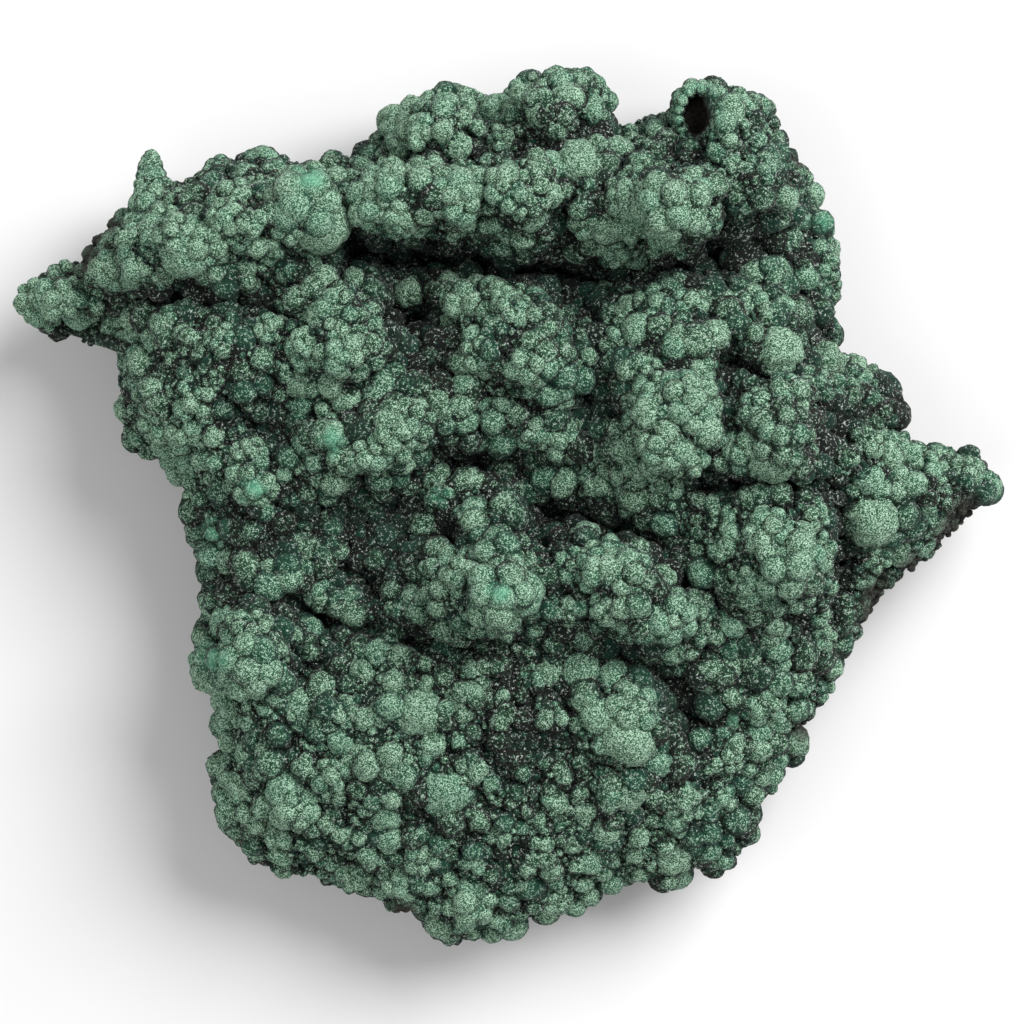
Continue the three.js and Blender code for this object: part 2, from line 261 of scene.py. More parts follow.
def makePiece(name, points, triangles, uv, values, material):
    # points in mm; uv one pair per triangle corner; values are numbers per vertex, by name
    mesh = bpy.data.meshes.new(name)
    mesh.vertices.add(len(points))
    mesh.vertices.foreach_set("co", (points * mm).astype(np.float32).ravel())
    mesh.loops.add(triangles.size)
    mesh.loops.foreach_set("vertex_index", triangles.astype(np.int32).ravel())
    mesh.polygons.add(len(triangles))
    mesh.polygons.foreach_set("loop_start", np.arange(0, triangles.size, 3, dtype=np.int32))
    mesh.update(calc_edges=True)
    mesh.polygons.foreach_set("use_smooth", np.ones(len(triangles), dtype=bool))
    layer = mesh.uv_layers.new(name="OFBake")
    layer.uv.foreach_set("vector", uv.astype(np.float32).ravel())
    for key, numbers in values.items():
        attribute = mesh.attributes.new(key, "FLOAT", "POINT")
        attribute.data.foreach_set("value", numbers.astype(np.float32).ravel())
    mesh.validate()
    piece = bpy.data.objects.new(name, mesh)
    bpy.context.collection.objects.link(piece)
    piece.data.materials.append(material)
    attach(piece, "root")
    print(name, len(triangles), "triangles")
    return piece


def gridTriangles(n):
    # two triangles for each of n by n cells, counter-clockwise in (u, v)
    row, column = np.mgrid[0:n, 0:n]
    a = (row * (n + 1) + column).ravel()
    b, c, d = a + 1, a + n + 2, a + n + 1
    return np.concatenate([np.stack([a, b, c], -1), np.stack([a, c, d], -1)])


def vertexNormals(points, triangles):
    # the sum of the neighbouring triangles' area vectors, made one long
    p, q, r = (points[triangles[:, k]] for k in range(3))
    area = np.cross(q - p, r - p)
    total = np.zeros_like(points)
    for k in range(3):
        for axis in range(3):
            total[:, axis] += np.bincount(triangles[:, k], area[:, axis], len(points))
    return total / np.maximum(np.linalg.norm(total, axis=1, keepdims=True), 1e-9)


def addNodes(material):
    # gives a function that adds one node: its inputs are numbers, colours or other nodes' outputs
    material.use_nodes = True
    tree = material.node_tree
    tree.nodes.clear()

    def node(kind, inputs=None, **settings):
        made = tree.nodes.new(kind)
        for key, value in settings.items():
            setattr(made, key, value)
        for key, value in (inputs or {}).items():
            if isinstance(value, bpy.types.NodeSocket):
                tree.links.new(value, made.inputs[key])
            else:
                made.inputs[key].default_value = value
        return made
    return node


def rampNode(node, source, stops):
    # a colour ramp with its stops as (place, colour)
    made = node("ShaderNodeValToRGB", {0: source})
    ramp = made.color_ramp
    while len(ramp.elements) < len(stops):
        ramp.elements.new(0.5)
    for element, (place, colour) in zip(ramp.elements, stops):
        element.position = place
        element.color = colour
    return made.outputs[0]


def mixColours(node, share, first, second):
    # first * (1 - share) + second * share
    made = node("ShaderNodeMix", data_type="RGBA")
    tree = made.id_data
    for index, value in ((0, share), (6, first), (7, second)):
        if isinstance(value, bpy.types.NodeSocket):
            tree.links.new(value, made.inputs[index])
        else:
            made.inputs[index].default_value = value
    return made.outputs[2]


def mathNode(node, operation, *values, clamp=False):
    # MULTIPLY_ADD is the first value * the second + the third
    made = node("ShaderNodeMath", dict(enumerate(values)), operation=operation, use_clamp=clamp)
    return made.outputs[0]


velvet = {
    "recess": (0.003, 0.0055, 0.0036, 1),  # near black: painted shade deep between the growths, over darker druse
    # painted half shade, on the growths' sides
    "flank": (0.007, 0.032, 0.015, 1),
    "body": (0.032, 0.096, 0.051, 1),  # green under the dust, on top of each growth, where the painted light is fullest
    "greyDustAndGlint": (0.42, 0.47, 0.43, 1),  # scattered pale grains down in the recesses, partly painted glints off the crystal faces
    "greenDust": (0.4, 0.6, 0.44, 1),  # close pale grains on top
    "teal": (0.008, 0.1, 0.062, 1),
    "mint": (0.1, 0.4, 0.25, 1),
    "rust": (0.01, 0.008, 0.007, 1),  # the dark iron-stained rock, and its lighter grain
    "brown": (0.035, 0.027, 0.02, 1),
    "grain": 10200,  # close grains per metre
    "sparkle": 7800,  # scattered grains per metre, partly painted glints
    "clump": 2300,  # knots of grains per metre
    "patch": 420,  # duller and paler patches per metre
    "cover": 0.54,  # share of close grains on a crown
    "scattered": 0.4,  # most that scattered grains take up in a recess
    "tealFrom": 0.45,  # growths with a tint above this turn teal, and how strongly
    "tealStrength": 0.6,
    "mintStrength": 0.55,
    "grainDepth": 0.00015,  # metres
    "clumpDepth": 0.0004,
}


def velvetMaterial():
    # malachite druse: dark green under single pale grains. A grain shows where its own random
    # number plus the cover is above 1: the cover grows with the tone, painted light and shade, so the
    # lit crowns have the most
    material = bpy.data.materials.new("malachite_velvet")
    node = addNodes(material)
    place = node("ShaderNodeTexCoord").outputs["Object"]
    lit = node("ShaderNodeAttribute", attribute_name="lit").outputs["Fac"]
    tint = node("ShaderNodeAttribute", attribute_name="tint").outputs["Fac"]
    rust = node("ShaderNodeAttribute", attribute_name="rust").outputs["Fac"]
    mint = node("ShaderNodeAttribute", attribute_name="mint").outputs["Fac"]

    grain = node("ShaderNodeTexVoronoi", {"Vector": place, "Scale": velvet["grain"]})
    sparkle = node("ShaderNodeTexVoronoi", {"Vector": place, "Scale": velvet["sparkle"]})
    speck = node("ShaderNodeSeparateColor", {0: grain.outputs["Color"]})
    glint = node("ShaderNodeSeparateColor", {0: sparkle.outputs["Color"]})
    clump = node("ShaderNodeTexNoise", {"Vector": place, "Scale": velvet["clump"],
                                        "Detail": 2.0}).outputs[0]
    patch = node("ShaderNodeTexNoise", {"Vector": place, "Scale": velvet["patch"],
                                        "Detail": 3.0}).outputs[0]

    # tone: the painted light and shade, give or take the patches and, more so in the recesses, the
    # clumps
    tone = mathNode(node, "ADD", lit, mathNode(node, "MULTIPLY_ADD", patch, 0.7, -0.35))
    unrest = mathNode(node, "MULTIPLY_ADD", lit, -1.1, 1.9)
    clumped = mathNode(node, "MULTIPLY", mathNode(node, "SUBTRACT", clump, 0.51), unrest)
    tone = mathNode(node, "ADD", tone, clumped, clamp=True)
    # lit and shaded copies of the green: painted shade in the recesses up to painted light on the crowns
    under = rampNode(node, tone, [(0.05, velvet["recess"]), (0.4, velvet["flank"]),
                                  (0.85, velvet["body"])])
    tealShare = mathNode(node, "SUBTRACT", tint, velvet["tealFrom"], clamp=True)
    tealShare = mathNode(node, "MULTIPLY", tealShare, velvet["tealStrength"])
    under = mixColours(node, tealShare, under, velvet["teal"])
    overShare = mathNode(node, "MULTIPLY", tealShare, 0.5)
    over = mixColours(node, overShare, velvet["greenDust"], velvet["mint"])

    # close grains on the crowns, then sparser grey ones in knots, partly painted glints
    cover = mathNode(node, "MULTIPLY_ADD", tone, velvet["cover"], -0.02)
    pale = mathNode(node, "SUBTRACT", mathNode(node, "ADD", speck.outputs[0], cover), 1.0)
    pale = mathNode(node, "MULTIPLY", pale, 5.0, clamp=True)
    colour = mixColours(node, pale, under, over)
    share = mathNode(node, "MULTIPLY", mathNode(node, "SUBTRACT", clump, 0.4), 3.2, clamp=True)
    fewer = mathNode(node, "MULTIPLY_ADD", tone, -0.65 * velvet["scattered"], velvet["scattered"])
    share = mathNode(node, "MULTIPLY", share, fewer)
    bright = mathNode(node, "SUBTRACT", mathNode(node, "ADD", glint.outputs[0], share), 1.0)
    bright = mathNode(node, "MULTIPLY", bright, 7.0, clamp=True)
    colour = mixColours(node, bright, colour, velvet["greyDustAndGlint"])

    # fresh mint spots, and bare rock with a brown grain
    mintShare = mathNode(node, "MULTIPLY", mint, velvet["mintStrength"])
    colour = mixColours(node, mintShare, colour, velvet["mint"])
    bareRock = rampNode(node, clump, [(0.42, velvet["rust"]), (0.56, velvet["brown"]),
                                      (0.66, velvet["rust"])])
    colour = mixColours(node, rust, colour, bareRock)

    rough = mathNode(node, "MULTIPLY_ADD", speck.outputs[2], -0.25, 0.95)
    lumps = node("ShaderNodeBump", {"Height": clump, "Strength": 0.6,
                                    "Distance": velvet["clumpDepth"]})
    bump = node("ShaderNodeBump", {"Height": grain.outputs["Distance"], "Strength": 0.7,
                                   "Distance": velvet["grainDepth"],
                                   "Normal": lumps.outputs[0]}, invert=True)
    shader = node("ShaderNodeBsdfPrincipled", {
        "Base Color": colour, "Roughness": rough, "Normal": bump.outputs[0],
        "Specular IOR Level": 0.22, "Sheen Weight": 0.04, "Sheen Roughness": 0.5,
    })
    node("ShaderNodeOutputMaterial", {"Surface": shader.outputs[0]})
    return material


velvetGreen = velvetMaterial()

rock = {
    "dark": (0.011, 0.009, 0.008, 1),
    "brown": (0.07, 0.043, 0.026, 1),
    "ochre": (0.2, 0.115, 0.05, 1),
    "green": (0.03, 0.11, 0.075, 1),
    "mottle": 160,  # dark and brown blotches per metre
    "dust": 900,
    "grit": 1700,
    "mottleDepth": 0.0012,  # metres
    "gritDepth": 0.0003,
}


def rockMaterial():
    # iron-stained rock: dark and brown mottling, ochre dust in the grain, green films near the rim
    material = bpy.data.materials.new("matrix_rock")
    node = addNodes(material)
    place = node("ShaderNodeTexCoord").outputs["Object"]
    rim = node("ShaderNodeAttribute", attribute_name="rim").outputs["Fac"]
    mottle = node("ShaderNodeTexNoise", {"Vector": place, "Scale": rock["mottle"], "Detail": 8.0,
                                         "Roughness": 0.62}).outputs[0]
    dust = node("ShaderNodeTexNoise", {"Vector": place, "Scale": rock["dust"], "Detail": 5.0}).outputs[0]
    grit = node("ShaderNodeTexVoronoi", {"Vector": place, "Scale": rock["grit"]})
    colour = rampNode(node, mottle, [(0.36, rock["dark"]), (0.52, rock["brown"]), (0.74, rock["dark"])])
    dusty = rampNode(node, dust, [(0.56, (0, 0, 0, 1)), (0.78, (0.6, 0.6, 0.6, 1))])
    colour = mixColours(node, dusty, colour, rock["ochre"])
    film = mathNode(node, "MULTIPLY", rim, mathNode(node, "MULTIPLY_ADD", mottle, 4, -1.35, clamp=True))
    colour = mixColours(node, film, colour, rock["green"])
    rough = mathNode(node, "MULTIPLY_ADD", dust, 0.5, 0.5, clamp=True)
    bumpGrit = node("ShaderNodeBump", {"Height": grit.outputs["Distance"], "Strength": 0.5,
                                       "Distance": rock["gritDepth"]}, invert=True)
    bump = node("ShaderNodeBump", {"Height": mottle, "Strength": 0.8,
                                   "Distance": rock["mottleDepth"],
                                   "Normal": bumpGrit.outputs[0]})
    shader = node("ShaderNodeBsdfPrincipled", {
        "Base Color": colour, "Roughness": rough, "Normal": bump.outputs[0],
        "Specular IOR Level": 0.4,
    })
    node("ShaderNodeOutputMaterial", {"Surface": shader.outputs[0]})
    return material


darkRock = rockMaterial()
print("finishes made")

crust = {
    "cells": 300,  # along each side of the square that the crust is drawn on
    # domes of the crust itself: spacing and height in mm, and share of the painted light on them
    "domes": ((3.0, 1.15, 0.3), (1.5, 0.6, 0.42), (0.72, 0.26, 0.28)),
    "sunk": 0.9,  # mm that the ground between the domes lies below the face
    "toRim": 0.97,  # share of the square's rings that are on the face, the others are under it
    "open": (0.75, 0.82),  # the first share of the rings covers the second of the way to the rim
    "skirt": 2.2,  # mm that the crust goes on down under the rim
    "skirtIn": 1.2,  # how far inwards it goes meanwhile, in shares of that
    # bare dark rock, and fresh bright mint: x, y, radius in mm
    "bare": [(50.5, -0.9, 2.2), (48.6, -3.2, 2), (44.6, -6.6, 1.4), (40.6, -9.6, 2), (39.8, -11.8, 1.7),
             (32.4, -24.6, 1.4), (-46.8, 29.2, 1.8), (-45, 31.6, 1.5), (-12.2, -45.4, 1.8),
             (32, 38.6, 1.4), (-47.6, 27.4, 1.5)],
    "fresh": [(-22, 35.7, 1.5), (-19.5, 7, 1.4), (-33.1, -2.5, 1.5), (-28.3, 1.9, 1.2),
              (-33, -16.7, 1.7), (-8, 1.3, 1), (-1.5, -9, 1.1), (24.5, -23.6, 1), (34.5, 31.3, 1.6)],
}

# a smooth dark hole near the northern rim: middle and half sizes of the oval
pit = {
    "place": (20.3, 43),
    "half": (1.5, 2.3),
    "floor": 17.4,  # height of its bottom
    "lip": 19.5,  # the lowest that its edge comes, so that it is closed towards the rim as well
    "ring": 15,  # small growths in each layer round its edge
    "ringOut": (1.34, 1.26),  # the oval that they stand on, in shares of the pit's across and along
    "ringRadius": 0.64,
    "ringStep": 0.9,  # mm from one layer to the next below
    "collar": 1.45,  # where its mint edge is brightest, in shares of the oval
    "clear": (0.88, 0.53),  # other growths keep this far off, plus this times their radius
    "seed": 7,
}


def pitDistance(x, y):
    # 1 on the pit's oval edge, less inside it
    return np.hypot((x - pit["place"][0]) / pit["half"][0], (y - pit["place"][1]) / pit["half"][1])


def crustPatches(points):
    # 1 inside a spot of bare rock or of fresh mint, falling to 0 past its uneven edge
    out = []
    ragged = 1.4 * (softNoise(points, 0.9, 5) - 0.5)
    for spots in (crust["bare"], crust["fresh"]):
        value = np.zeros(len(points))
        for cx, cy, r in spots:
            away = np.hypot(points[:, 0] - cx, points[:, 1] - cy) + ragged
            value = np.maximum(value, np.clip(1.4 - away / r, 0, 1))
        out.append(value)
    hole = pitDistance(points[:, 0], points[:, 1])
    out[1] = np.maximum(out[1], 0.5 * np.clip(1 - np.abs(hole - pit["collar"]) / 0.4, 0, 1))
    return out


# how deep a place lies below its surroundings, for the painted shade in trenches
hollows = {
    "rings": ((3, 0.4), (6, 0.35), (9, 0.25)),  # how far round a place is compared, and the weight
    "deep": 4.5,  # mm below its surroundings at which a place's painted shade is as dark as it gets
}


def hollowness(x, y):
    # the mean height of the rings round a place, less its own, over the depth of a deep trench
    mean = 0
    for away, weight in hollows["rings"]:
        ring = 0
        for k in range(8):
            a = k * math.pi / 4
            ring = ring + swellHeight(x + away * math.cos(a), y + away * math.sin(a)) / 8
        mean = mean + weight * ring
    return np.clip((mean - swellHeight(x, y)) / hollows["deep"], -0.35, 1)


# where the druse is darker (below 0) and paler (above 0): partly its own duller and paler spots, partly
# painted shade in the low ground and painted light on the rims; x, y, reach in mm, amount
druseAndLightPatches = np.array([
    (-12, 16.5, 6, -0.5), (-17, 22, 4, -0.3), (4, 20, 6, -0.4), (20, 19, 5, -0.25), (28, 34, 7, -0.4),
    (24, 29, 4, -0.3), (20, 37.5, 4, -0.25), (34, 20, 5, -0.35), (35, 9, 5, -0.6), (43, 11, 3, -0.6),
    (32, 2, 4, -0.4), (24, 9, 4, -0.15), (-32, 17, 5, -0.25), (-32, 23, 3, -0.2), (-7, 11, 4, -0.25),
    (1, 0, 5, -0.35), (4, -8, 4, -0.45), (-13, -9, 4, -0.25), (16, -8, 4, -0.35), (-22, -3, 8, -0.3),
    (-27, -4, 4, -0.2), (-27, -15, 4, -0.4), (-17, -17, 4, -0.35), (1, -23, 5, -0.45),
    (19, -24, 5, -0.2), (28, -33, 4, -0.3), (18, -29, 4, -0.2), (13, -17, 4, -0.15),
    (-13, -1, 6, -0.2), (-33, -20, 4, 0.45), (-32, -27, 4, 0.5), (-26, -36, 4, 0.3),
    (-16, -41, 4, 0.4), (-9, -43, 4, 0.35), (12, -43, 4, 0.4), (16, -38, 4, 0.35), (-53, 22, 4, 0.4),
    (-47, 23, 4, 0.5), (-42, 27, 3, 0.35), (-42, 19, 3, 0.35), (-37, 7, 4, 0.6), (-27, 27, 3, 0.35),
    (-12, 42, 4, 0.55), (-12, 36, 4, 0.4), (-2, 43, 3, 0.6), (14, 42, 4, 0.55), (14, 30, 4, 0.5),
    (3, 32, 4, -0.3), (23, 31, 4, -0.15), (15, 37, 4, -0.15), (28, 42, 4, -0.25), (10, 17, 6, -0.15),
    (30, 9, 5, -0.2), (-2, -3, 4, -0.15), (33, -8, 4, -0.25), (-2, -28, 6, -0.15), (-30, 12, 4, -0.2),
    (-12, 32, 3, 0.2), (-7, 27, 4, 0.3), (13, 28, 4, 0.2), (18, 42, 3, 0.3), (8, -43, 4, 0.35),
    (-2, -47, 4, 0.35), (-33, -25, 4, 0.15), (-31, -33, 4, 0.25), (-22, -13, 4, 0.2),
    (-22, 12, 3, 0.7), (20, 1, 4, 0.35), (39, 17, 3, 0.6), (-20, 36, 4, 0.15), (-3, 26, 5, 0.15),
])


def druseAndLightTone(x, y):
    # the sum of amount * bell curve of the distance, a little narrower than the reach
    tone = 0
    for cx, cy, reach, amount in druseAndLightPatches:
        width = 0.62 * reach
        tone = tone + amount * np.exp(-((x - cx) ** 2 + (y - cy) ** 2) / (2 * width ** 2))
    return tone


def gridBorder(n):
    # the vertices along the edge of an n by n grid, once round
    side = np.arange(n + 1)
    border = np.concatenate([side, side * (n + 1) + n, (n + 1) * n + side[::-1], side[::-1] * (n + 1)])
    return border[np.r_[True, border[1:] != border[:-1]]][:-1]


def makeCrust():
    # face: (u, v) goes through the disc to the rim, z from the face's height; then the three
    # sizes of dome push each point out along the normal. Last rings: the skirt under the rim
    n = crust["cells"]
    v, u = np.mgrid[0:n + 1, 0:n + 1] / n
    r, turn = squareToDisc(u, v)
    # rings even over the open face, then closer where the face turns down to the rim
    rings, covered = crust["open"]
    step = np.clip(r / crust["toRim"], 0, 1)
    turnDown = np.clip((step - rings) / (1 - rings), 0, 1)
    share = np.minimum(step, rings) * covered / rings + (1 - covered) * np.sin(turnDown * math.pi / 2)
    reach = reachAt(turn.ravel()).reshape(turn.shape)
    x = stone["middle"][0] + share * reach * np.cos(turn)
    y = stone["middle"][1] + share * reach * np.sin(turn)
    z = faceHeight(x, y, share >= 0.9999)
    hole = np.clip((1.2 - pitDistance(x, y)) / 0.45, 0, 1)
    z += (pit["floor"] - z) * hole * hole * (3 - 2 * hole)
    under = np.clip((r - crust["toRim"]) / (1 - crust["toRim"]), 0, 1)
    x -= under * crust["skirt"] * crust["skirtIn"] * np.cos(turn)
    y -= under * crust["skirt"] * crust["skirtIn"] * np.sin(turn)
    z -= under * crust["skirt"]
    points = np.stack([x, y, z], -1).reshape(-1, 3)
    triangles = gridTriangles(n)
    normals = vertexNormals(points, triangles)
    lift = np.zeros(len(points))
    lit = np.zeros(len(points))
    for index, (spacing, height, weight) in enumerate(crust["domes"]):
        dome = domes(points + normals * lift[:, None] * 0.5, spacing, index + 11)
        lift += height * dome
        lit += weight * dome
        if index == 0:
            coarseDome = dome
    edge = 1 - under.ravel()
    moved = points + normals * ((lift - crust["sunk"]) * edge * (1 - 0.8 * hole.ravel()))[:, None]
    hollow = hollowness(points[:, 0], points[:, 1])
    tone = druseAndLightTone(points[:, 0], points[:, 1])
    # painted light on the domes' tops, painted shade in the hollows, with the darker and paler patches
    lit = np.clip(0.42 * lit - 0.14 + 0.5 * tone - 0.45 * np.clip(hollow, 0, 1), 0, 1)
    bare, fresh = crustPatches(points)
    inPit = np.clip((1.2 - pitDistance(points[:, 0], points[:, 1])) / 0.15, 0, 1)
    bare = np.maximum(bare, inPit)
    values = {"lit": lit, "tint": softNoise(points, 4.0, 3), "rust": bare, "mint": fresh * 0.6}
    uv = np.stack([u.ravel(), v.ravel()], -1)[triangles.ravel()]
    # the open edge is drawn together to one point inside the stone
    border = gridBorder(n)
    centre = len(moved)
    fan = np.stack([np.roll(border, -1), border, np.full(len(border), centre)], -1)
    moved = np.vstack([moved, [[0, 0, stone["rimHeight"] - crust["skirt"] + 1]]])
    for key in values:
        values[key] = np.append(values[key], 0)
    allTriangles = np.vstack([triangles, fan])
    uvFan = np.tile([[0.0005, 0.0005]], (fan.size, 1))
    allUv = np.vstack([uv, uvFan])
    piece = makePiece("malachite_crust", moved, allTriangles, allUv, values, velvetGreen)
    return piece, moved[:-1], vertexNormals(points, triangles), under.ravel(), coarseDome


crustPiece, crustPoints, crustNormals, crustUnder, crustLift = makeCrust()
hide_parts("malachite_specimen")

matrixRock = {
    "cells": 180,
    "roughness": ((9.0, 1.3), (3.5, 0.7), (1.2, 0.28)),  # spacing and depth in mm
    "inset": 0.985,  # share of the stone's reach, so that the crust laps over it
    "dish": 1.2,  # mm that the shallow hollows go up into the flat back
}


def makeRock():
    # back: (u, v) goes through the disc; flat in the middle, then rising to the rim, with three
    # sizes of soft noise pushed in along the normal, none where it stands on the ground
    n = matrixRock["cells"]
    v, u = np.mgrid[0:n + 1, 0:n + 1] / n
    r, turn = squareToDisc(u, v)
    reach = reachAt(turn.ravel()).reshape(turn.shape)
    x = stone["middle"][0] + r * reach * np.cos(turn) * matrixRock["inset"]
    y = stone["middle"][1] + r * reach * np.sin(turn) * matrixRock["inset"]
    step = np.clip((r - stone["backFlat"]) / (1.15 - stone["backFlat"]), 0, 1)
    z = stone["rimHeight"] * step * step * (3 - 2 * step)
    points = np.stack([x, y, z], -1).reshape(-1, 3)
    triangles = gridTriangles(n)[:, ::-1]
    normals = vertexNormals(points, triangles)
    lift = sum(height * (softNoise(points, size, seed) - 0.8)
               for seed, (size, height) in enumerate(matrixRock["roughness"]))
    slope = np.clip(z.ravel() / 1.5, 0, 1)
    moved = points + normals * (lift * slope)[:, None]
    moved[:, 2] = np.maximum(moved[:, 2], 0)
    dish = np.clip(0.35 - 0.9 * softNoise(points, 6, 9), 0, 1) * (slope < 0.4)
    moved[:, 2] += dish * matrixRock["dish"]
    border = gridBorder(n)
    centre = len(moved)
    fan = np.stack([border, np.roll(border, -1), np.full(len(border), centre)], -1)
    moved = np.vstack([moved, [[0, 0, stone["rimHeight"] + 2]]])
    rimValue = np.append(np.clip((r.ravel() - 0.8) / 0.2, 0, 1), 1)
    uv = np.stack([u.ravel(), v.ravel()], -1)[triangles.ravel()]
    uvFan = np.tile([[0.0005, 0.0005]], (fan.size, 1))
    return makePiece("matrix_rock", moved, np.vstack([triangles, fan]), np.vstack([uv, uvFan]),
                     {"rim": rimValue}, darkRock)


makeRock()
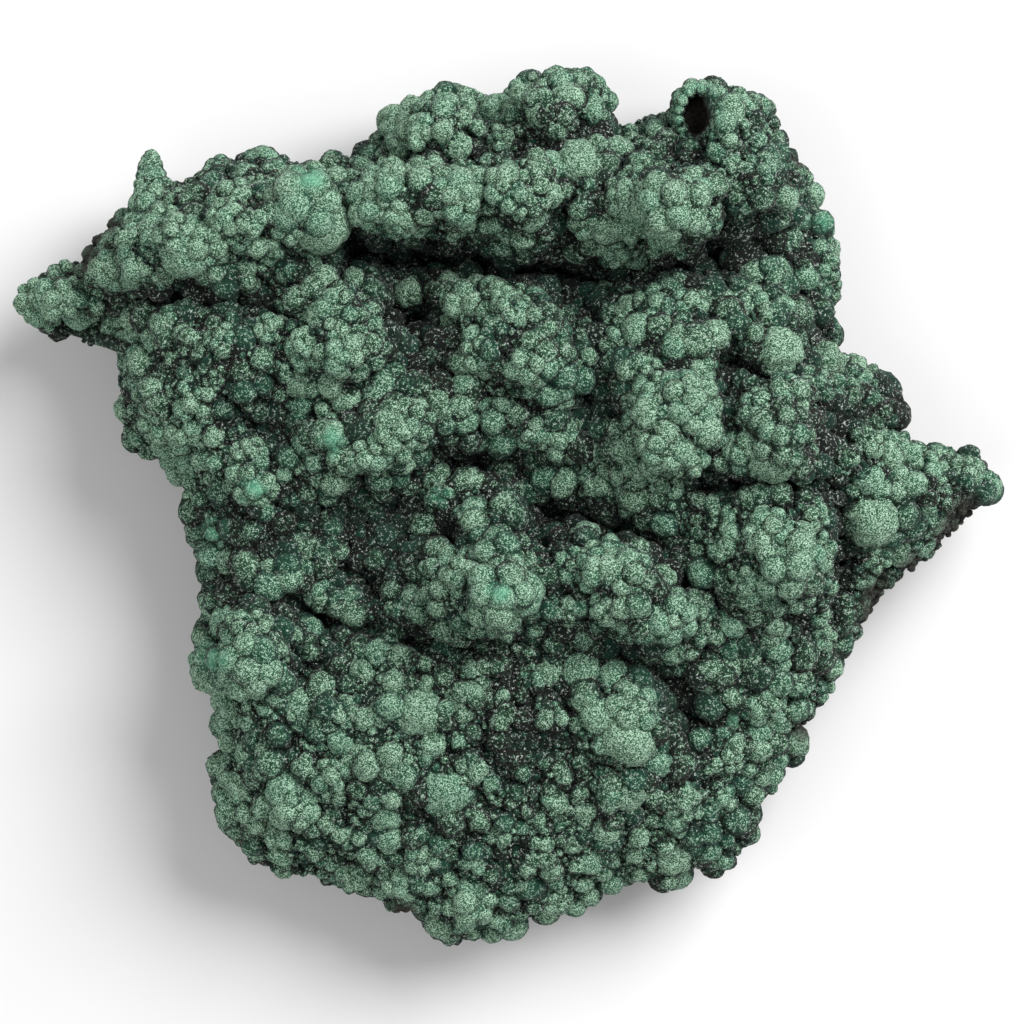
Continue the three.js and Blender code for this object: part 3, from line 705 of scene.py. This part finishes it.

# the large ones, listed one by one: x, y, radius in mm
largeGrowths = [
    (-53, 22.8, 2.2), (-50.3, 23, 2.3), (-50.2, 25.6, 1.7), (-48.4, 21.6, 1.6), (-47, 24.6, 2.2),
    (-41.5, 29.2, 1.8), (-43.4, 31.6, 1.6), (-38.5, 31, 2.1), (-37, 33, 2.1), (-35.5, 27.5, 2.7),
    (-36.5, 29.5, 2.3), (-31, 25.8, 2.9), (-33.5, 29, 2.4), (-44, 26, 2.3), (-41.5, 25, 1.9),
    (-39, 25.6, 1.7), (-32.5, 37.4, 1.8), (-28, 38.8, 1.6), (-29.5, 36.6, 1.4), (-26.3, 36.6, 1.8),
    (-27.5, 34.6, 1.7), (-30.5, 33.5, 2.3), (-31, 31.3, 2.1), (-22.8, 33, 3.4), (-20.9, 30.9, 2.8),
    (-24.5, 30.4, 1.8), (-22.5, 26.8, 1.5), (1, 45.4, 1.9), (6, 44.8, 1.5), (8.8, 46, 1.7),
    (7.4, 47.4, 1.1), (5.2, 46.8, 1.2), (3, 43.2, 1.5), (21.3, 46.2, 1.5), (24.3, 45.8, 1.5),
    (26.8, 44.6, 1.6), (25, 43.6, 1.4), (26.3, 41.4, 1.5), (28.4, 41.2, 1.5), (7, 37.7, 2.6),
    (-12, 40, 1.7), (-6.3, 39.4, 1.6), (-0.8, 40.2, 1.7), (11.5, 39, 1.6), (13.3, 40.3, 1.2),
    (-15.5, 33, 2.5), (-12.5, 32, 2.1), (-11, 31.3, 1.9), (-13, 35, 1.9), (-9.5, 36, 2.1),
    (-6, 33.5, 2.5), (-6, 36, 1.7), (-3.8, 35.5, 1.6), (-0.5, 34.5, 2.3), (1.5, 33, 1.9),
    (3.8, 37, 1.6), (4, 34, 1.5), (2, 31.5, 1.6), (8, 31.5, 1.9), (12.5, 33.5, 1.9), (13, 31, 1.9),
    (11, 28.5, 1.9), (13.5, 27.8, 1.3), (17, 32.5, 3.3), (19.5, 34.5, 2.1), (20.5, 31.5, 2.1),
    (18.5, 29.5, 2.1), (14.8, 36.3, 1.7), (23.7, 35.8, 1.9), (27, 36.3, 2), (31, 36, 1.9),
    (24.5, 33.5, 1.9), (32.6, 33.5, 1.3), (34, 31.2, 1.8), (35.2, 28.8, 1.3), (-7, 24.5, 1.5),
    (-3.8, 24.3, 1.2), (-11.5, 23.7, 1.4), (-6.7, 20, 1.5), (-4, 21.8, 1.5), (-0.8, 22.3, 1.7),
    (-19, 21, 2.7), (-16.5, 20.5, 2.4), (-16, 17.3, 2.3), (-18.8, 16.8, 2.3), (-22.7, 17.5, 1.8),
    (-23.3, 13.8, 1.6), (-19.8, 13.5, 1.6), (-18, 11.5, 1.5), (-3.5, 17, 2.3), (0, 21, 2.1),
    (3, 19.5, 2.6), (2, 16, 2.6), (4.5, 17, 2.1), (10, 23.5, 1.6), (12.5, 21.8, 1.4), (19.5, 22, 2),
    (26, 22.3, 2), (23.6, 22.5, 1.6), (22, 18.8, 1.5), (11.5, 18, 1.7), (13.8, 19.3, 1.6),
    (29.3, 26, 1.4), (33.9, 26.8, 2.2), (34.2, 24, 2), (26.5, 25.5, 1.6), (30.5, 29.5, 1.4),
    (35.2, 20, 1.3), (29, 17, 2.7), (34, 15.6, 2.6), (33, 13, 2.1), (36, 12.5, 2.1),
    (38.5, 13.3, 1.7), (40.6, 13.2, 1.3), (39.5, 11.3, 1.4), (15.5, 12, 2.3), (19, 11.5, 2.9),
    (20.5, 14.5, 1.9), (15, 14.5, 1.7), (29.5, 12, 2.3), (26.5, 10.5, 2.1), (29, 7.5, 2.9),
    (25.5, 6, 2.3), (28, 5, 2.6), (16.5, 6.5, 2.6), (19, 5.5, 2.1), (14, 4.5, 1.9), (17, 3, 2.1),
    (13.3, 7, 1.4), (2.5, 8.5, 2.1), (5.5, 7.5, 2.4), (9, 6, 1.4), (-18, 5.5, 1.9),
    (-15.5, 6, 2.3), (-13, 7.5, 2.6), (-11, 9, 2.3), (-8.2, 11, 1.8), (-28.5, 3, 2.7),
    (-29, 5.5, 1.9), (-39, 9.5, 2.1), (-38, 6.8, 1.7), (-35.6, 4.9, 1.5), (-42.8, 11, 1.6),
    (-38.8, 18.5, 1.7), (-31.8, 18, 1.7), (-26.5, 19.3, 1.7), (-9.8, -2, 1.6), (-8.5, 3.5, 1.6),
    (-8, 1.3, 1.9), (-1, 3.5, 1.6), (15.2, -2.3, 1.2), (-1, -5.5, 2.9), (-5.5, -7.5, 2.1),
    (-1.5, -9.5, 3.3), (0.7, -9.5, 2.6), (-4, -12.3, 1.9), (-1.3, -12.6, 1.9), (6.5, -6.5, 1.9),
    (9.5, -7, 2.3), (12.5, -7.5, 2.6), (8, -3.5, 1.6), (5.5, -11, 1.9), (10.5, -11, 1.8),
    (13, -13, 1.8), (17, -12, 2.6), (16, -8, 1.6), (3.8, -18.2, 1.3), (7.5, -18, 1.9),
    (11, -18.4, 1.5), (9.2, -22.8, 2), (13.3, -22.5, 2.6), (12.5, -25.5, 2.7), (21.3, -19.2, 1.6),
    (23.7, -17.3, 1.5), (22.3, -21.6, 1.2), (27.5, -2.5, 2.3), (32.4, -0.9, 1.8), (30, -6, 3.6),
    (33, -5, 2.1), (26, -8, 2.1), (31, -9.5, 1.9), (39.6, -1.5, 2.7), (40.8, 6, 2.3),
    (38.5, 7, 1.9), (43, 5.3, 2.1), (46, 3.8, 2.1), (50, 3.8, 1.8), (52.8, 2.4, 1.6),
    (39, 3, 1.4), (46, 0.3, 1.5), (46.4, -1.5, 1.4), (45.4, -4, 1.4), (43, -4.8, 1.6),
    (40, -5.6, 1.7), (38.8, -8, 1.2), (33.8, -14.5, 1.7), (29, -13.2, 1.4), (24, -12.5, 1.6),
    (29.3, -17.3, 1.3), (31.2, -19.2, 1.7), (27.5, -21.7, 2.1), (32, -22.3, 1.3), (27, -25, 1.4),
    (24.5, -23.6, 1.3), (23.5, -27.5, 1.8), (31, -27.3, 1.5), (12.5, -31, 2.2), (19, -32.5, 2.1),
    (23, -32, 1.7), (7.8, -33.2, 1.3), (4.8, -32.5, 1.2), (10.5, -35.5, 1.6), (6.5, -36.8, 1.2),
    (-1.3, -36, 1.4), (8.5, -39, 1.6), (4.5, -43.2, 1.9), (18, -39, 2), (18.4, -41, 1.5),
    (-7.3, -31.2, 2.5), (-4.3, -29, 1.4), (-10.2, -22.5, 2.3), (-14.5, -22.5, 1.4),
    (-8.8, -25.8, 1.4), (-5.5, -22.3, 1.2), (-16.5, -18, 1.3), (-16.3, -26.7, 1.3),
    (-19, -25.5, 1.5), (-18.3, -22.5, 1.7), (-20, -29.5, 2.1), (-23.5, -21.5, 1.4),
    (-25, -31.2, 2.1), (-24, -33, 2.6), (-29, -27.2, 1.4), (-27, -26.8, 1.6), (-31.6, -29, 1.5),
    (-28.6, -23.5, 1.5), (-30, -31, 1.7), (-33, -17.5, 2.6), (-28.5, -17.5, 3.1), (-29, -13.5, 2.3),
    (-31.5, -12.8, 1.6), (-26.5, -16, 1.9), (-10, -38.7, 1.9), (-12.2, -41.5, 2.1), (-18, -40.6, 1.9),
    (-14, -34, 1.5), (-13.5, -36.5, 1.6), (-4.8, -43.8, 2.6), (-8, -46.4, 1.6), (-28.4, -37.8, 1.5),
    (-26, -36, 1.7), (-31.4, -5.9, 1.3), (-27, -6.3, 1.2), (-23, -4.3, 1.5), (-21.3, -9.8, 1.7),
    (-18, -8, 1.3), (-9, 44.6, 1.6), (-11.4, 43.6, 1.4), (-6.4, 45, 1.3), (-13, 41.6, 1.4),
]

# brightness, vary: how dusty and how brightly lit they are, in painted light and shade, and how much
# that differs from one to the next
# dim: painted shade, how much darker and less dusty deep down; crownFrom: how far up a surface has to
# face to be dusty and lit, painted light from above
# knobs: spacing and height in mm of the smaller lumps on each; sink: share of the radius that
# the centre lies under the crust; swell: what the listed radii are multiplied by
# overBare: the barest rock that they still grow on, from 0 to 1
growths = {
    "large": {"cells": 22, "brightness": 0.14, "vary": 0.1, "dim": 0.5, "crownFrom": 0.16,
              "knobs": ((1.7, 0.42), (0.62, 0.2)), "seed": 100, "sink": 0.15, "swell": 1.16},
    "head": {"cells": 10, "brightness": 0.16, "vary": 0.14, "dim": 0.5, "crownFrom": 0.3,
             "knobs": ((0.62, 0.17),), "seed": 120},
    "medium": {"cells": 10, "brightness": -0.16, "vary": 0.3, "dim": 0.9, "crownFrom": 0.32,
               "knobs": ((0.95, 0.34), (0.45, 0.12)), "seed": 200, "sink": 0.05,
               "spacing": 2.6, "radius": (0.75, 1.9), "overBare": 0.5},
    "small": {"cells": 6, "brightness": -0.36, "vary": 0.36, "dim": 0.9, "crownFrom": 0.34,
              "knobs": ((0.42, 0.12),), "seed": 300, "sink": 0.1,
              "spacing": 1.04, "radius": (0.3, 0.72), "overBare": 1.5},
    "mostTriangles": 190000,  # in one piece
}


def ballGrid(n):
    # (u, v) through the disc to the sphere: the angle from the top is 2 asin(distance), which
    # keeps areas; the whole border is one vertex, the ball's lowest point
    v, u = np.mgrid[0:n + 1, 0:n + 1] / n
    r, turn = squareToDisc(u, v)
    r, turn, u, v = r.ravel(), turn.ravel(), u.ravel(), v.ravel()
    down = 2 * np.arcsin(np.clip(r, 0, 1))
    ball = np.stack([np.sin(down) * np.cos(turn), np.sin(down) * np.sin(turn), np.cos(down)], -1)
    inner = r < 1 - 1e-9
    place = np.cumsum(inner) - 1
    place = np.where(inner, place, inner.sum())
    corners = gridTriangles(n)
    triangles = place[corners]
    kept = ((triangles[:, 0] != triangles[:, 1]) & (triangles[:, 1] != triangles[:, 2])
            & (triangles[:, 2] != triangles[:, 0]))
    vertices = np.vstack([ball[inner], [[0, 0, -1]]])
    cornerUv = np.stack([u, v], -1)[corners[kept]]
    return vertices, triangles[kept], cornerUv


def sideways(normals, spin):
    # two directions square to each normal, turned round it by the spin
    helper = np.where(np.abs(normals[:, 2:3]) < 0.9, (0, 0, 1), (1, 0, 0))
    first = np.cross(helper, normals)
    first /= np.linalg.norm(first, axis=1, keepdims=True)
    second = np.cross(normals, first)
    c, s = np.cos(spin)[:, None], np.sin(spin)[:, None]
    return first * c + second * s, second * c - first * s


def makeGrowths(name, kind, centres, radii, normals, stand, seed):
    # centre + radius * direction turned to the normal, then out by the knobs' domes, for every
    # ball at once; stand is each one's own brightness, painted light and shade included
    settings = growths[kind]
    shuffle = np.random.default_rng(seed)
    clear, clearPerRadius = pit["clear"]
    kept = pitDistance(centres[:, 0], centres[:, 1]) > clear + clearPerRadius * radii
    centres, radii, normals, stand = centres[kept], radii[kept], normals[kept], stand[kept]
    ball, triangles, cornerUv = ballGrid(settings["cells"])
    count = len(centres)
    first, second = sideways(normals, shuffle.uniform(0, 2 * math.pi, count))
    squash = shuffle.uniform(0.86, 1.1, (count, 1, 3))
    local = ball[None] * squash
    turned = (local[..., 0:1] * first[:, None] + local[..., 1:2] * second[:, None]
              + local[..., 2:3] * normals[:, None])
    points = centres[:, None] + radii[:, None, None] * turned
    flat = points.reshape(-1, 3)
    bulge = np.zeros(len(flat))
    for index, (spacing, height) in enumerate(settings["knobs"]):
        bulge += height * (domes(flat, spacing, seed + 31 + index) - 0.45)
    outward = turned.reshape(-1, 3)
    outward /= np.linalg.norm(outward, axis=1, keepdims=True)
    flat = flat + outward * bulge[:, None]
    hollow = hollowness(centres[:, 0], centres[:, 1])
    own = shuffle.uniform(-1, 1, count) * settings["vary"] + druseAndLightTone(centres[:, 0], centres[:, 1])
    # painted light: each ball lighter on its upward-facing crown and on its knobs' tops; painted shade
    # deep in the trenches; the mint spots follow that light too
    crown = 0.45 * ball[None, :, 2] + 0.55 * outward.reshape(count, -1, 3)[..., 2]
    crown = np.clip((crown - settings["crownFrom"]) / 0.45, 0, 1)
    crown = crown * crown * (3 - 2 * crown)
    lit = 0.72 * crown + (own + stand - settings["dim"] * np.clip(hollow, -0.3, 1))[:, None]
    lit = lit + 0.22 * bulge.reshape(count, -1) / settings["knobs"][0][1]
    bare, fresh = crustPatches(flat)
    each = np.ones((1, len(ball)))
    values = {
        "lit": np.clip(lit, 0, 1),
        "tint": shuffle.uniform(0, 1, count)[:, None] * each,
        "rust": bare * 0.9,
        "mint": fresh * np.clip(lit, 0, 1).ravel(),
    }
    allTriangles = (triangles[None] + np.arange(count)[:, None, None] * len(ball)).reshape(-1, 3)
    side = math.ceil(math.sqrt(count))
    column, row = np.arange(count) % side, np.arange(count) // side
    corner = np.stack([column, row], -1)[:, None, None]
    uv = (corner + 0.06 + 0.88 * cornerUv[None]) / side
    return makePiece(name, flat, allTriangles, uv.reshape(-1, 2), values, velvetGreen)


def makeInParts(kind, centres, radii, normals, stand):
    # balls go into as many pieces as keep each under the limit of triangles
    print(kind, "growths:", len(centres))
    limit = growths["mostTriangles"] // (2 * growths[kind]["cells"] ** 2)
    parts = math.ceil(len(centres) / limit)
    for part in range(parts):
        pick = slice(part, None, parts)
        name = f"{kind}_growths_{part + 1}" if parts > 1 else f"{kind}_growths"
        seed = growths[kind]["seed"] + part
        makeGrowths(name, kind, centres[pick], radii[pick], normals[pick], stand[pick], seed)


def slopeNormals(x, y):
    # the face's own upward normal from height differences over a millimetre, across and along
    dx = faceHeight(x + 0.5, y) - faceHeight(x - 0.5, y)
    dy = faceHeight(x, y + 0.5) - faceHeight(x, y - 0.5)
    normal = np.stack([-dx, -dy, np.ones_like(dx)], -1)
    return normal / np.linalg.norm(normal, axis=1, keepdims=True)


def pitRing():
    # small growths on the pit's edge: a ring on the face, or on the lip where the face is lower,
    # then uneven layers of bigger ones below it down to the face
    rng = np.random.default_rng(pit["seed"])
    across, along = pit["ringOut"]
    spacing = 2 * math.pi / pit["ring"]
    layers = int((pit["lip"] - stone["rimHeight"]) / pit["ringStep"]) + 1
    centres = []
    radii = []
    for layer in range(layers):
        uneven = min(layer, 1)
        turn = spacing * (np.arange(pit["ring"]) + uneven * rng.uniform(-0.7, 0.7, pit["ring"]))
        outward = 1 + uneven * rng.uniform(0.05, 0.2, pit["ring"])
        x = pit["place"][0] + across * outward * pit["half"][0] * np.cos(turn)
        y = pit["place"][1] + along * outward * pit["half"][1] * np.sin(turn)
        face = faceHeight(x, y)
        z = np.maximum(face, pit["lip"]) + 0.2 - layer * pit["ringStep"]
        z += uneven * rng.uniform(-0.5, 0.3, pit["ring"])
        size = pit["ringRadius"] * rng.uniform(0.8, 1.3 + 0.3 * uneven, pit["ring"])
        kept = (z > face - 0.5) | (layer == 0)
        centres.append(np.stack([x, y, z], -1)[kept])
        radii.append(size[kept])
    centres = np.vstack(centres)
    return centres, np.concatenate(radii), slopeNormals(centres[:, 0], centres[:, 1])


heads = {
    "from": 1.95,  # big growths from this radius are heads of smaller ones,
    # but for these, which stay single: x, y
    "single": [
        (-20.9, 30.9), (7, 37.7), (29, 17), (39.6, -1.5), (7.5, -18), (9.2, -22.8),
        (-7.3, -31.2), (-10.2, -22.5), (-25, -31.2), (-8.2, 11), (-35.5, 27.5),
        (34, 15.6), (12.5, -31), (18, -39), (0.7, -9.5), (28, 5), (12.5, -25.5),
    ],
    "children": 11,
    "size": (0.34, 0.54),  # of a child, in shares of the head's radius
    "cap": 1.15,  # height of the cap that they cover, in radii
    "sunk": 0.62,  # share of a child's radius that lies inside the head's
    "core": 0.84,  # radius of the ball under them, in shares of the head's
    "coreShade": 0.36,  # how much less bright it is
    "seed": 150,
}


def headChildren(centres, radii, normals):
    # a spiral of directions over each head's cap, opening 137.5 degrees from one to the next;
    # child centre = head centre + direction * (head radius - part of the child's own)
    shuffle = np.random.default_rng(heads["seed"])
    perHead = heads["children"]
    index = np.arange(perHead)[None, :]
    down = np.arccos(1 - heads["cap"] * (index + 0.5) / perHead)
    down = down + shuffle.uniform(-0.12, 0.12, (len(centres), perHead))
    around = index * math.radians(137.5) + shuffle.uniform(0, 2 * math.pi, (len(centres), 1))
    around = around + shuffle.uniform(-0.25, 0.25, (len(centres), perHead))
    first, second = sideways(normals, np.zeros(len(centres)))
    direction = (np.cos(down)[..., None] * normals[:, None]
                 + (np.sin(down) * np.cos(around))[..., None] * first[:, None]
                 + (np.sin(down) * np.sin(around))[..., None] * second[:, None])
    size = radii[:, None] * shuffle.uniform(*heads["size"], (len(centres), perHead))
    place = centres[:, None] + direction * (radii[:, None] - heads["sunk"] * size)[..., None]
    return place.reshape(-1, 3), size.ravel(), direction.reshape(-1, 3)


# a pointed growth on the northern edge: x, y, z, radius in mm, from its foot to its tip
horn = {
    "balls": [(-39.6, 33, 17.4, 2.7), (-39.8, 34.7, 16.8, 2.2), (-40, 36.2, 16.2, 1.75),
              (-40.1, 37.5, 15.7, 1.35), (-40.2, 38.5, 15.3, 1)],
    "lean": (0.1, 0.6, 0.8),  # which way its balls' crowns face
}

large = np.array(largeGrowths)
largeNormals = slopeNormals(large[:, 0], large[:, 1])
largeCentres = np.stack([large[:, 0], large[:, 1], faceHeight(large[:, 0], large[:, 1])], -1)
largeCentres -= largeNormals * (growths["large"]["sink"] * large[:, 2:3])
largeRadii = large[:, 2] * growths["large"]["swell"]
largeCentres = np.vstack([largeCentres, np.array(horn["balls"])[:, :3]])
largeNormals = np.vstack([largeNormals, [horn["lean"]] * len(horn["balls"])])
largeRadii = np.append(largeRadii, np.array(horn["balls"])[:, 3])

single = np.array(heads["single"])
fromSingle = np.hypot(largeCentres[:, None, 0] - single[:, 0], largeCentres[:, None, 1] - single[:, 1])
isHead = (largeRadii > heads["from"]) & (fromSingle.min(1) > 0.4)
ownRadii = np.where(isHead, heads["core"], 1) * largeRadii
ownBrightness = growths["large"]["brightness"] - np.where(isHead, heads["coreShade"], 0)
makeInParts("large", largeCentres, ownRadii, largeNormals, ownBrightness)

children = headChildren(largeCentres[isHead], largeRadii[isHead], largeNormals[isHead])
children = [np.concatenate([some, more]) for some, more in zip(children, pitRing())]
makeInParts("head", *children, np.full(len(children[1]), growths["head"]["brightness"]))

# the scattered growths keep off the large ones
scattering = {
    "clear": 0.85,  # no centre nearer to a large one's than this share of its radius
    "moat": 1.6,  # mm round the biggest ones where they are darker: painted shade at their foot, with less dust as well
    "moatFrom": 1.7,  # radius from which a large one has that
    "moatShade": 0.3,
}


def scatter(kind):
    # one crust point for each cubic cell, taken at random, then lowered along its normal
    settings = growths[kind]
    seed = settings["seed"]
    shuffle = np.random.default_rng(seed)
    order = shuffle.permutation(np.flatnonzero(crustUnder < 0.9))
    cells = np.floor(crustPoints[order] / settings["spacing"]).astype(np.int64)
    key = (cells[:, 0] * 4096 + cells[:, 1]) * 4096 + cells[:, 2]
    first = np.unique(key, return_index=True)[1]
    chosen = order[first]
    smallest, biggest = settings["radius"]
    share = 0.5 * softNoise(crustPoints[chosen], 7, seed) + 0.5 * shuffle.uniform(0, 1, len(chosen))
    share = np.clip(1.25 * share, 0, 1) ** 2
    radii = smallest + (biggest - smallest) * share
    centres = crustPoints[chosen] - crustNormals[chosen] * (settings["sink"] * radii)[:, None]
    far = 9.0
    away = np.full(len(chosen), far)
    moat = np.full(len(chosen), far)
    for start in range(0, len(largeCentres), 16):
        some = slice(start, start + 16)
        noMoat = far * (largeRadii[some] < scattering["moatFrom"])
        gap = np.linalg.norm(centres[:, None] - largeCentres[None, some], axis=2)
        away = np.minimum(away, (gap / largeRadii[some]).min(1))
        moat = np.minimum(moat, (gap - largeRadii[some] + noMoat).min(1))
    bare = crustPatches(centres)[0]
    kept = (away > scattering["clear"]) & (bare < settings["overBare"])
    inMoat = np.clip(1 - moat / scattering["moat"], 0, 1)
    # painted light where they stand on a crust dome, painted shade in the moats
    stand = settings["brightness"] + 0.5 * (crustLift[chosen] - 0.5) - scattering["moatShade"] * inMoat
    return centres[kept], radii[kept], crustNormals[chosen][kept], stand[kept]


for kind in ("medium", "small"):
    makeInParts(kind, *scatter(kind))

studio = {
    "floor": (0.72, 0.72, 0.72, 1),
    "floorHalf": 3,  # metres, as are the lights' places and sizes
    "sky": 0.4,
    "key": {"place": (0.46, 0.4, 0.6), "size": 0.6, "power": 10.5},
    "fill": {"place": (-0.5, -0.3, 0.7), "size": 0.9, "power": 2.8},
}

floorMesh = bpy.data.meshes.new("floor")
half = studio["floorHalf"]
floorCorners = [(-half, -half, 0), (half, -half, 0), (half, half, 0), (-half, half, 0)]
floorMesh.from_pydata(floorCorners, [], [(0, 1, 2, 3)])
floor = bpy.data.objects.new("floor", floorMesh)
bpy.context.collection.objects.link(floor)
floorMaterial = bpy.data.materials.new("floor_pale")
floorMaterial.use_nodes = True
floorShader = floorMaterial.node_tree.nodes["Principled BSDF"]
floorShader.inputs["Base Color"].default_value = studio["floor"]
floorShader.inputs["Roughness"].default_value = 0.9
floorMesh.materials.append(floorMaterial)

for name in ("key", "fill"):
    light = bpy.data.lights.new(name, "AREA")
    light.shape = "DISK"
    light.size = studio[name]["size"]
    light.energy = studio[name]["power"]
    lamp = bpy.data.objects.new(name, light)
    lamp.location = studio[name]["place"]
    lamp.rotation_euler = (-Vector(studio[name]["place"])).to_track_quat("-Z", "Y").to_euler()
    bpy.context.collection.objects.link(lamp)

world = bpy.data.worlds.new("studio")
bpy.context.scene.world = world
world.use_nodes = True
world.node_tree.nodes["Background"].inputs[0].default_value = (1, 1, 1, 1)
world.node_tree.nodes["Background"].inputs[1].default_value = studio["sky"]
bpy.context.scene.view_settings.view_transform = "Standard"
print("floor and lights set")
